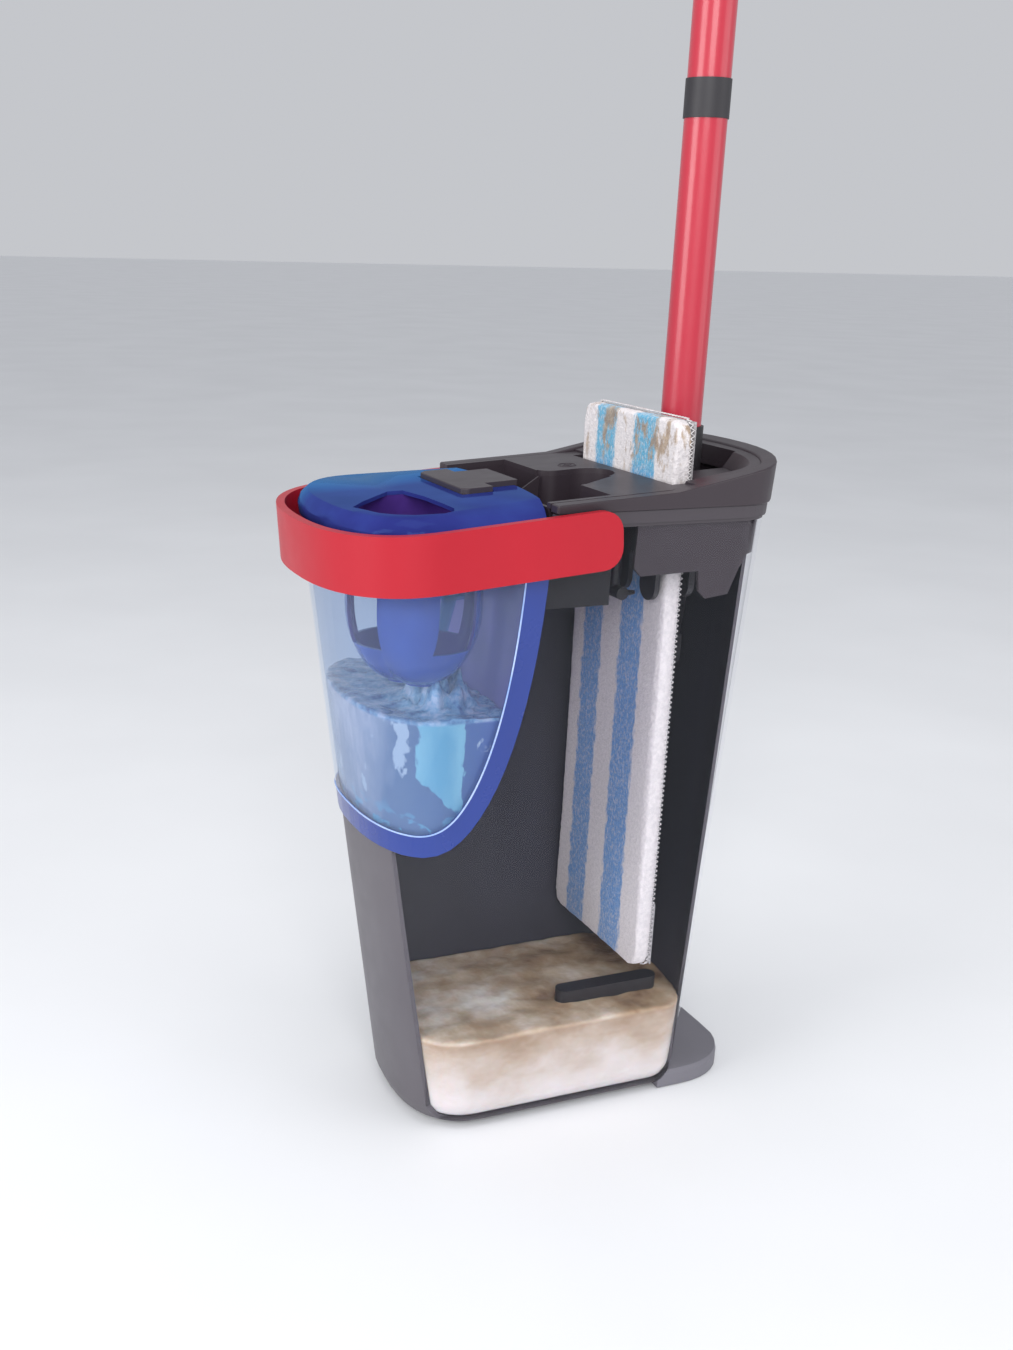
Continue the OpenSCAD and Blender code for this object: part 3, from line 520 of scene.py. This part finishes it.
slots = {p["node"]: p["material_slot"] for p in frame["record"]["subparts"]}
smoothing = smooth_group()
for name, obj in frame["nodes"].items():
    obj.data.materials.clear()
    if slots[name] in MATERIALS:
        obj.data.materials.append(OWN_LOOK.get(name, MATERIALS[slots[name]]))
    normals = obj.data.attributes.get("custom_normal")
    if normals:
        obj.data.attributes.remove(normals)
    mod = obj.modifiers.new("smooth", "NODES")
    mod.node_group = smoothing
    if name in EDGE:
        edge = obj.modifiers.new("edges", "BEVEL")
        edge.width = EDGE[name] * MM
        edge.segments = 2
        edge.limit_method = "ANGLE"
        edge.angle_limit = math.radians(BEVEL_ANGLE)
        edge.harden_normals = True


# ---- mop pad: looped microfibre, sewn round its edge ----
DECK_TOP = 0.404  # metres; above it the pad has picked up dirt


def pad_material():
    """White looped cloth with two blue stripes, dirt above the deck and darker at the foot."""
    s = Shader("pad_fabric")
    across = s.math("DIVIDE", s.math("SUBTRACT", PAD_HALF * MM, s.axis("Y")), 2 * PAD_HALF * MM)
    across = s.math("ADD", across, s.swing(s.noise(300, 5, (1, 1, 0.4), 0.65), 0.11))
    height = s.axis("Z")
    white, no, yes = srgb("E4DEDF"), (0, 0, 0), (1, 1, 1)
    band = s.ramp(across, [(0.0, no), (0.150, no), (0.170, yes), (0.355, yes), (0.375, no),
                           (0.555, no), (0.575, yes), (0.780, yes), (0.800, no), (1.0, no)])
    blue = s.mix(s.rise(height, 0.400, 60), srgb("4A8ED0"), srgb("54A9CE"))
    stripes = s.mix(band, white, blue)
    loops = s.noise(900, 3)
    speck = s.ramp(s.noise(420, 4), [(0.35, (0.72, 0.72, 0.74)), (0.62, (1, 1, 1))])
    fleck = s.rise(s.noise(650, 4, (1, 1, 0.6), 0.7), 0.47, 6)
    cloth = s.mix(0.5, s.mix(s.math("MULTIPLY", fleck, 0.5), stripes, white), speck, "MULTIPLY")
    above = s.rise(height, DECK_TOP, 60)
    blots = s.rise(s.noise(85, 6, (1, 1, 0.5), 0.65), 0.51, 14)
    grime = s.ramp(s.noise(150, 4), [(0.3, srgb("7C5E40")), (0.7, srgb("B49A7A"))])
    stained = s.mix(s.math("MULTIPLY", s.math("MULTIPLY", above, blots), 0.85), cloth, grime)
    # darker towards the foot of the pad, below 0.13 m
    foot_darkening = s.rise(height, 0.13, -12)
    s.colour(s.mix(s.math("MULTIPLY", foot_darkening, 0.35), stained, srgb("A89C8E")))
    s.bump(loops, 0.9, 0.8).bump(s.noise(330, 3), 1.2, 0.5)
    s.set(Roughness=0.95, Sheen_Weight=0.35, Sheen_Roughness=0.5)
    return s.material


def swell(obj, pressure, frames=20):
    """Inflates a remeshed soft piece with a short cloth simulation and applies the result."""
    cloth = obj.modifiers.new("cloth", "CLOTH")
    settings = cloth.settings
    settings.quality = 4
    settings.mass = 0.3
    settings.tension_stiffness = settings.compression_stiffness = 25
    settings.bending_stiffness = 2
    settings.use_pressure = True
    settings.uniform_pressure_force = pressure
    settings.effector_weights.gravity = 0
    scene = bpy.context.scene
    scene.frame_start, scene.frame_end = 1, frames
    for number in range(1, frames + 1):
        scene.frame_set(number)
    apply_modifiers(obj)
    scene.frame_set(1)
    return obj


# How far the pad's surface may go, in metres, so that it stays clear of the lips and the mop plate
SWELL_LIMIT = 1.2 * MM
PAD_FRONT_X, PAD_REAR_X, PAD_MIDDLE_X = 0.0405, 0.0524, 0.046
LIP_LOW, LIP_HIGH, LIP_X = 0.376, 0.392, 0.0411
PLATE_HALF, PLATE_LOW, PLATE_HIGH, PLATE_X = 0.0478, 0.1015, 0.4405, 0.0491
NAP = 0.35 * MM


def make_pad():
    """The pad, swollen by simulation, then given its nap and held clear of what it touches."""
    pad = welded_copy("mop_pad", "pad")
    remesh(pad, 3)
    rest = [v.co.copy() for v in pad.data.vertices]
    swell(pad, 4)
    for v, before in zip(pad.data.vertices, rest):
        move = v.co - before
        if move.length > SWELL_LIMIT:
            v.co = before + move.normalized() * SWELL_LIMIT
    mod = pad.modifiers.new("finer", "SUBSURF")
    mod.levels = mod.render_levels = 1
    apply_modifiers(pad)
    outward = [v.normal.copy() for v in pad.data.vertices]
    for v, normal in zip(pad.data.vertices, outward):
        x, y, z = v.co
        nap = NAP * (wave(x, y, z, 2.2) + 0.6 * wave(x, y, z, 4.5, 3))
        v.co += normal * nap
        # the wiper lips press a line into the front face
        if LIP_LOW < z < LIP_HIGH and v.co.x < PAD_MIDDLE_X:
            v.co.x = max(v.co.x, LIP_X)
        v.co.x = max(v.co.x, PAD_FRONT_X)
        # the plate keeps the rear face flat
        if abs(y) < PLATE_HALF and PLATE_LOW < z < PLATE_HIGH and x > PAD_MIDDLE_X:
            v.co.x = min(v.co.x, PLATE_X)
        v.co.x = min(v.co.x, PAD_REAR_X)
    smooth(pad)
    pad.data.materials.clear()
    pad.data.materials.append(pad_material())
    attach(pad, "mop_head")
    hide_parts("mop_pad")


def make_seam():
    """Overlock seam round the pad's edge: a fine zigzag thread."""
    proud, r, stitch = 0.15, 9.0, 1.6
    near, far, wide, tall = 48.7, 51.3, 0.3, 0.35
    half, low, high = PAD_HALF + proud, PAD_Z0 - proud, PAD_Z1 + proud
    path = []
    for cy, cz, start in ((half - r, high - r, 0), (-half + r, high - r, 90), (-half + r, low + r, 180),
                          (half - r, low + r, 270)):
        for k in range(9):
            t = math.radians(start + 90 * k / 8)
            path.append((cy + r * math.cos(t), cz + r * math.sin(t)))
    points, carried = [], 0.0
    for (ay, az), (by, bz) in zip(path, path[1:] + path[:1]):
        length = math.hypot(by - ay, bz - az)
        while carried < length:
            f = carried / length
            points.append((ay + (by - ay) * f, az + (bz - az) * f, (by - ay) / length, (bz - az) / length))
            carried += stitch
        carried -= length
    bm = bmesh.new()
    for i, (y, z, ty, tz) in enumerate(points):
        y2, z2 = points[(i + 1) % len(points)][:2]
        a = Vector((near if i % 2 else far, y, z)) * MM
        b = Vector((far if i % 2 else near, y2, z2)) * MM
        out = Vector((0, tz, -ty)) * tall * MM
        side = (b - a).cross(out).normalized() * wide * MM
        ring_a, ring_b = ([bm.verts.new(end + arm) for arm in (side, out, -side, -out)] for end in (a, b))
        for k in range(4):
            bm.faces.new((ring_a[k], ring_a[(k + 1) % 4], ring_b[(k + 1) % 4], ring_b[k]))
        bm.faces.new(ring_a[::-1])
        bm.faces.new(ring_b)
    seam = new_object("pad_seam", bm)
    smooth(seam)
    s = Shader("seam_thread")
    s.colour(s.ramp(s.noise(700, 3), [(0.3, srgb("B7B2B3")), (0.7, srgb("E6E2E2"))]))
    s.bump(s.noise(2600, 2, (1, 1, 3)), 0.1)
    s.set(Roughness=0.85, Sheen_Weight=0.3)
    seam.data.materials.append(s.material)
    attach(seam, "mop_head")


def make_pockets():
    """The two cloth pockets behind the pad that hold the plate's ends."""
    half, across, up = 55.3, 56, 22
    for tag, z0, z1 in (("low", PAD_Z0 + 1.5, PAD_Z0 + 44), ("high", PAD_Z1 - 44, PAD_Z1 - 1.5)):
        bm = bmesh.new()
        grid = [[bm.verts.new((0, 0, 0)) for _ in range(across + 1)] for _ in range(up + 1)]
        for j, row in enumerate(grid):
            for i, v in enumerate(row):
                y = -half + 2 * half * i / across
                z = z0 + (z1 - z0) * j / up
                edge = min(1.0, 4 * min(i, across - i) / across)
                crease = 0.25 * wave(0, y * MM, z * MM, 14, 5)
                v.co = Vector((52.75 + 0.35 * edge + crease * edge, y, z)) * MM
        for j in range(up):
            for i in range(across):
                bm.faces.new((grid[j][i], grid[j][i + 1], grid[j + 1][i + 1], grid[j + 1][i]))
        pocket = new_object("pocket_" + tag, bm)
        thick = pocket.modifiers.new("thick", "SOLIDIFY")
        thick.thickness = 0.5 * MM
        thick.offset = 1
        apply_modifiers(pocket)
        smooth(pocket)
        s = Shader("pocket_cloth_" + tag)
        weave = s.math("MULTIPLY", s.noise(1500, 2, (1, 1, 0.15)), s.noise(1500, 2, (1, 0.15, 1)))
        s.colour(s.ramp(weave, [(0.12, srgb("8E8B8E")), (0.4, srgb("C2BFC1"))]))
        s.bump(weave, 0.35)
        s.set(Roughness=0.9, Sheen_Weight=0.3)
        pocket.data.materials.append(s.material)
        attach(pocket, "mop_head")
        if tag == "low":
            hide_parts("pad_pockets")


make_pad()
make_seam()
make_pockets()


# ---- dirty water in the bucket ----
def dirty_material():
    """Milky brown water: pale at the bottom, with foam on top that is darker at the rear and far side."""
    s = Shader("dirty_water")
    height = s.axis("Z")
    depth = s.math("DIVIDE", height, 0.070)
    mixed = s.math("ADD", depth, s.swing(s.noise(30, 6, (1, 1, 1.6), 0.6), 0.9))
    body = s.ramp(mixed, [(0.1, srgb("E2DCDC")), (0.45, srgb("D6CCC6")), (0.72, srgb("C0AE9E")),
                          (0.95, srgb("A58E78"))])
    top = s.rise(height, 0.0635, 500)
    rear = s.rise(s.axis("X"), -0.02, 9)
    far = s.rise(s.axis("Y"), 0.025, 30)
    cloud = s.math("ADD", s.noise(20, 7, (1, 1, 1), 0.6), 0.07)
    # the foam turns darker towards the rear and the far side
    rear_far_darkening = s.math("ADD", s.math("MULTIPLY", rear, -0.15), s.math("MULTIPLY", far, -0.07))
    foam = s.ramp(s.math("ADD", cloud, rear_far_darkening), [(0.30, srgb("7A5E48")), (0.42, srgb("AE9578")),
                                               (0.55, srgb("CDBBA4")), (0.68, srgb("EAE3D8"))])
    s.colour(s.mix(top, body, foam))
    s.rough(s.noise(120, 4), 0.08, 0.3)
    s.bump(s.noise(160, 5), 1.2, 0.5)
    s.set(Subsurface_Weight=0.25, Subsurface_Scale=0.01, IOR=1.33)
    return s.material


def make_dirty_water():
    """Water that fills the foot of the bucket, just clear of its walls, with a wavy top."""
    inset = -WALL - 0.4
    levels = ((FLOOR_TOP + 0.2, -11.0), (FLOOR_TOP + 4, -6.2), (FLOOR_TOP + 11, inset - 0.2), (30, inset),
              (DIRTY_LEVEL, inset))
    water = loft("dirty_water", [[(x, y, z) for x, y in outline(z, off)] for z, off in levels])
    remesh(water, 2.5)
    for v in water.data.vertices:
        x, y, z = v.co
        if z > (DIRTY_LEVEL - 2) * MM:
            v.co.z += MM * (1.6 * wave(x, y, 0, 34, 1) + 1.0 * wave(x, y, 0, 12, 4)
                            + 0.35 * wave(x, y, 0, 5, 8))
    smooth(water)
    water.data.materials.append(dirty_material())
    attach(water, "bucket")


# ---- clean water in the tank ----
def clean_material():
    """Water lit from one side: pale at the front, a bright broken column, deeper blue to the rear."""
    s = Shader("clean_water")
    x, z = s.axis("X"), s.axis("Z")
    wobble = s.swing(s.noise(55, 5, (1, 1, 0.45), 0.6), 0.022)
    along = s.rise(s.math("ADD", x, wobble), -0.155, 1 / 0.09)
    body = s.ramp(along, [(0.12, srgb("E4DCE0")), (0.2, srgb("ADB2C0")), (0.31, srgb("7186A4")),
                          (0.62, srgb("58739E")), (0.9, srgb("4A66AC"))])
    ragged = s.swing(s.noise(170, 5, (1, 1, 0.5), 0.65), 0.012)
    edge = s.math("ADD", s.math("ADD", x, s.math("MULTIPLY", wobble, 0.35)), ragged)
    narrowing = s.math("MAXIMUM", s.math("SUBTRACT", 0.250, z), 0.0)
    left = s.rise(s.math("ADD", edge, 0.120), narrowing, 700)
    right = s.rise(edge, -0.092, -900)
    low = s.rise(s.math("ADD", z, wobble), 0.226, 500)
    column = s.math("MULTIPLY", s.math("MULTIPLY", left, right), low)
    bright = s.ramp(s.noise(45, 4, (1, 1, 0.3)), [(0.35, srgb("79C6D6")), (0.6, srgb("A9E2E6"))])
    lit = s.mix(s.math("MULTIPLY", column, 0.9), body, bright)
    flecks = s.rise(s.noise(58, 4, (1, 1, 0.7), 0.5), 0.62, 40)
    lit = s.mix(s.math("MULTIPLY", flecks, 0.85), lit, srgb("DCE2E6"))
    foot = s.rise(z, 0.232, -60)
    caustic = s.rise(s.noise(75, 4, (1, 1, 1.8)), 0.55, 22)
    lit = s.mix(s.math("MULTIPLY", s.math("MULTIPLY", foot, caustic), 0.8), lit, srgb("7CC6DE"))
    top = s.rise(z, 0.2815, 700)
    froth = s.ramp(s.noise(95, 6, (1, 1, 1), 0.65),
                   [(0.36, srgb("36508C")), (0.5, srgb("8FB8D2")), (0.62, srgb("E2E2EC"))])
    s.colour(s.mix(s.math("MULTIPLY", top, 0.85), lit, froth))
    s.rough(s.noise(90, 4), 0.05, 0.2)
    s.bump(s.noise(60, 5), 1.2, 0.5)
    s.see_through(0.82, srgb("A8CCE6"), 0.06, 1.25)
    return s.material


SPLASH_X, SPLASH_Y, SPLASH_LONG, SPLASH_WIDE = -0.092, -0.030, 0.022, 0.030  # metres
SPLASH_HIGH = 26  # millimetres


def make_clean_water():
    """Water that fills the foot of the tank, just clear of its walls, with waves and a low splash."""
    water = loft("clean_water", [[(x, y, z) for x, y in outline(z, -0.9)] for z in (194, 240, CLEAN_LEVEL)])
    block = loft("scoop_block", [[(x, y, z) for x, z in scoop(3.4)] for y in (-100, 100)])
    intersect(water, block)
    remesh(water, 2.2)
    for v in water.data.vertices:
        x, y, z = v.co
        if z > (CLEAN_LEVEL - 2) * MM:
            away = math.hypot((x - SPLASH_X) / SPLASH_LONG, (y - SPLASH_Y) / SPLASH_WIDE)
            splash = max(0.0, 1 - away) ** 0.7 * max(0.0, 0.55 + 1.6 * wave(x, y, 0, 7, 9))
            v.co.z += MM * (2.2 * wave(x, y, 0, 22, 2) + 1.2 * wave(x, y, 0, 8, 6) + SPLASH_HIGH * splash)
    smooth(water)
    water.data.materials.append(clean_material())
    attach(water, "tank")


# ---- raised details ----
def tube(bm, points, radius, sides=6):
    """Round bead along an open path of points in millimetres."""
    rings = []
    for i, p in enumerate(points):
        ahead = Vector(points[min(i + 1, len(points) - 1)]) - Vector(points[max(i - 1, 0)])
        side = ahead.cross(Vector((0.12, 0.31, 1))).normalized()
        up = side.cross(ahead).normalized()
        rings.append([bm.verts.new((Vector(p) + radius * (math.cos(t) * side + math.sin(t) * up)) * MM)
                      for t in (2 * math.pi * k / sides for k in range(sides))])
    for low, high in zip(rings, rings[1:]):
        for k in range(sides):
            bm.faces.new((low[k], low[(k + 1) % sides], high[(k + 1) % sides], high[k]))
    bm.faces.new(rings[0][::-1])
    bm.faces.new(rings[-1])


def side_y(x, z, off):
    """Half width of the bucket's outline at (x, z), grown by off."""
    half = SIDE_HALF + SIDE_LEAN * z + off
    if x >= front_centre(z):
        return half
    share = min(1.0, (front_centre(z) - x) / (FRONT_REACH + off))
    return half * (1 - share ** END_N) ** (1 / END_N)


BEAD_INSET, BEAD_OFF, BEAD_TOP, BEAD_STEP, BEAD_R = 14.6, 2.1, 383, 1.2, 0.55  # millimetres


def bead_path():
    """Edge of the tank's clear window, from the rear lip down and round to the front middle."""
    path = []
    for x, z in scoop(BEAD_INSET, 1500):
        reach = front_centre(z) - (FRONT_REACH + BEAD_OFF)
        y = side_y(max(x, reach), z, BEAD_OFF)
        far_enough = not path or (Vector((x, y, z)) - Vector(path[-1])).length > BEAD_STEP
        if z < BEAD_TOP and (far_enough or x <= reach):
            path.append((max(x, reach), y, z))
        if x <= reach:
            break
    return path


def make_window_edge_highlight():
    """Thin round bead along the edge of the tank's clear window, pale blue to paint the highlight along
    that edge.
    """
    bm = bmesh.new()
    half = bead_path()
    tube(bm, [(x, -y, z) for x, y, z in half] + half[-2::-1], BEAD_R)
    bmesh.ops.recalc_face_normals(bm, faces=bm.faces)
    bead = new_object("window_edge_highlight", bm)
    smooth(bead)
    s = Shader("window_edge_highlight")
    # painted highlight: pale blue ramp for the light line along the window's edge
    s.colour(s.ramp(s.noise(30, 3), [(0.3, srgb("7FA0DC")), (0.7, srgb("B4C6EE"))]))
    s.rough(s.noise(80, 3), 0.12, 0.25)
    bead.data.materials.append(s.material)
    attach(bead, "tank")


def make_deck_sign():
    """Plain ring with a drop in it, raised on the deck beside the hand hollow."""
    cx, cy, ring_r, thick = 16.0, 30.0, 5.6, 0.35
    deck_z, deck_slope = 408.05, 0.06
    turn = [2 * math.pi * k / 48 for k in range(49)]
    ring = [(cx + ring_r * math.cos(t), cy + ring_r * math.sin(t)) for t in turn]
    drop = []
    for t in turn[::2]:
        tip = max(0.0, math.cos(t))
        drop.append((cx + 2.1 * (1 + 0.55 * tip ** 3) * math.cos(t) - 0.3,
                     cy + 1.7 * math.sin(t) * (1 - 0.35 * tip)))
    bm = bmesh.new()
    for points in (ring, drop):
        tube(bm, [(x, y, deck_z + deck_slope * x) for x, y in points], thick)
    bmesh.ops.recalc_face_normals(bm, faces=bm.faces)
    sign = new_object("deck_sign", bm)
    smooth(sign)
    sign.data.materials.append(MATERIALS["insert_plastic"])
    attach(sign, "insert")


def make_spring():
    """The pump's return spring from the CAD model, welded, shaded smooth and given a mesh of its own."""
    spring = welded_copy("pump_spring", "return_spring")
    smooth(spring)
    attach(spring, "lid")
    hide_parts("pump_spring")
    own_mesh(spring)


make_window_edge_highlight()
make_deck_sign()
make_spring()
make_dirty_water()
make_clean_water()

# ---- stage: floor, studio light and camera ----
FLOOR_HALF = 30  # metres


def make_stage():
    """Plain pale floor that reaches the horizon."""
    bm = bmesh.new()
    bmesh.ops.create_grid(bm, x_segments=1, y_segments=1, size=FLOOR_HALF)
    floor = new_object("floor", bm)
    s = Shader("studio_floor")
    s.colour(s.ramp(s.noise(3, 3), [(0.3, srgb("E9EAEC")), (0.7, srgb("EEEFF1"))]))
    s.set(Roughness=0.6)
    floor.data.materials.append(s.material)


def area_light(name, place, target, size, power):
    """Square lamp of that size in metres and power in watts, turned to the target."""
    data = bpy.data.lights.new(name, "AREA")
    data.shape = "RECTANGLE"
    data.size = data.size_y = size
    data.energy = power
    light = bpy.data.objects.new(name, data)
    light.location = place
    light.rotation_euler = (Vector(target) - Vector(place)).to_track_quat("-Z", "Y").to_euler()
    bpy.context.scene.collection.objects.link(light)


def make_lights():
    """Soft studio light and a pale surround."""
    middle = (0, 0, 0.3)
    area_light("key", (-1.0, -2.3, 1.5), middle, 1.4, 42)
    area_light("side", (-2.2, -0.3, 0.9), middle, 1.2, 24)
    area_light("fill", (1.7, -1.5, 1.0), middle, 1.6, 12)
    area_light("top", (-0.3, -0.2, 2.4), middle, 1.2, 10)
    world = bpy.data.worlds.new("studio")
    world.use_nodes = True
    background = world.node_tree.nodes["Background"]
    background.inputs[0].default_value = (0.93, 0.95, 1.0, 1)
    background.inputs[1].default_value = 0.6
    bpy.context.scene.world = world
    bpy.context.scene.view_settings.view_transform = "Standard"


def make_camera():
    """Camera of the photograph, over a frame 36 mm high."""
    place = Vector((-0.419, -0.790, 0.540))
    azimuth, elevation, roll = (math.radians(a) for a in (-22.7, 19.3, 1.6))
    level = math.cos(elevation)
    back = Vector((math.sin(azimuth) * level, -math.cos(azimuth) * level, math.sin(elevation)))
    right = (-back).cross(Vector((0, 0, 1))).normalized()
    up = right.cross(-back)
    right, up = (math.cos(roll) * right + math.sin(roll) * up,
                 -math.sin(roll) * right + math.cos(roll) * up)
    data = bpy.data.cameras.new("photo_camera")
    data.sensor_fit = "VERTICAL"
    data.sensor_height = 36
    data.lens = 39.2
    data.shift_x, data.shift_y = 0.0622, 0.0578
    data.clip_start, data.clip_end = 0.01, 50
    camera = bpy.data.objects.new("photo_camera", data)
    camera.matrix_world = Matrix.Translation(place) @ Matrix((right, up, back)).transposed().to_4x4()
    bpy.context.scene.collection.objects.link(camera)
    bpy.context.scene.camera = camera


make_stage()
make_lights()
make_camera()
